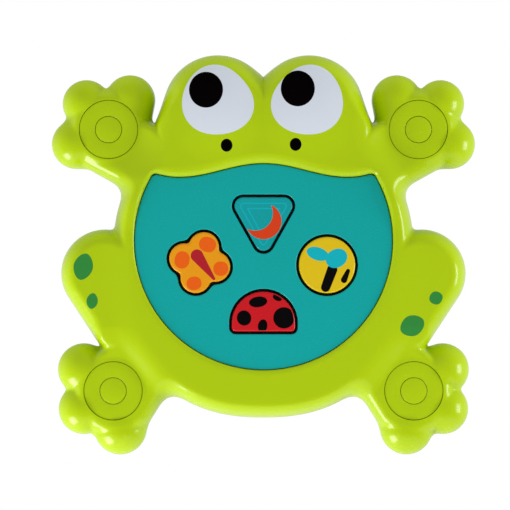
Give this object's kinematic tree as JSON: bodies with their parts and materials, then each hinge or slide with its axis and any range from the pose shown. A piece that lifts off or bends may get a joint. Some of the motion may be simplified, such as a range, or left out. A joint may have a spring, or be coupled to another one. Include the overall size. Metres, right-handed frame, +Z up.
{
  "type": "bath toy frog",
  "caption": "Lime green frog that hangs on suction cups, with shape pieces that post through its hinged teal belly into a drained bin.",
  "frame": {"origin": "on the wall plane that the suction cups' rims press on, midway between the cups", "axes": "+Z up, +Y into the wall, -Y towards the viewer, +X to the viewer's right"},
  "size_m": [0.2982, 0.047, 0.2812],
  "materials": {
    "lime_front": "smooth moulded",
    "lime_back": "lightly textured moulded",
    "teal_panel": "smooth moulded",
    "black_rubber": "soft matt",
    "teal_piece": "smooth moulded",
    "orange_piece": "smooth moulded",
    "yellow_piece": "smooth moulded",
    "red_piece": "smooth moulded",
    "clear_vinyl": "clear soft vinyl",
    "steel": "stainless"
  },
  "bodies": {
    "frog": {"front_shell": "lime_front", "rear_shell": "lime_back", "left_hand_suction_cup": "clear_vinyl", "left_hand_cap_ring": "lime_front", "left_hand_cap_plug": "lime_front", "right_hand_suction_cup": "clear_vinyl", "right_hand_cap_ring": "lime_front", "right_hand_cap_plug": "lime_front", "left_foot_suction_cup": "clear_vinyl", "left_foot_cap_ring": "lime_front", "left_foot_cap_plug": "lime_front", "right_foot_suction_cup": "clear_vinyl", "right_foot_cap_ring": "lime_front", "right_foot_cap_plug": "lime_front", "case_screw_1": "steel", "case_screw_2": "steel", "case_screw_3": "steel", "case_screw_4": "steel", "case_screw_5": "steel", "case_screw_6": "steel", "left_hinge_pin": "steel", "right_hinge_pin": "steel"},
    "belly_door": {"belly_panel": "teal_panel", "grip_liner": "black_rubber"},
    "triangle_piece": {"triangle_piece_front": "teal_piece", "triangle_piece_base": "teal_piece"},
    "flower_piece": {"flower_piece_front": "orange_piece", "flower_piece_base": "orange_piece"},
    "round_piece": {"round_piece_front": "yellow_piece", "round_piece_base": "yellow_piece"},
    "dome_piece": {"dome_piece_front": "red_piece", "dome_piece_base": "red_piece"}
  },
  "joints": [
    {"name": "belly_hinge", "type": "hinge", "parent": "frog", "child": "belly_door", "pos_m": [0, -0.0365, 0.0524], "axis": [-1, 0, 0], "range_deg": [0, 75]},
    {"name": "triangle_post", "type": "slide", "parent": "belly_door", "child": "triangle_piece", "axis": [0, -1, 0], "range_m": [-0.016, 0.016]},
    {"name": "flower_post", "type": "slide", "parent": "belly_door", "child": "flower_piece", "axis": [0, -1, 0], "range_m": [-0.016, 0.016]},
    {"name": "round_post", "type": "slide", "parent": "belly_door", "child": "round_piece", "axis": [0, -1, 0], "range_m": [-0.016, 0.016]},
    {"name": "dome_post", "type": "slide", "parent": "belly_door", "child": "dome_piece", "axis": [0, -1, 0], "range_m": [-0.016, 0.016]}
  ]
}
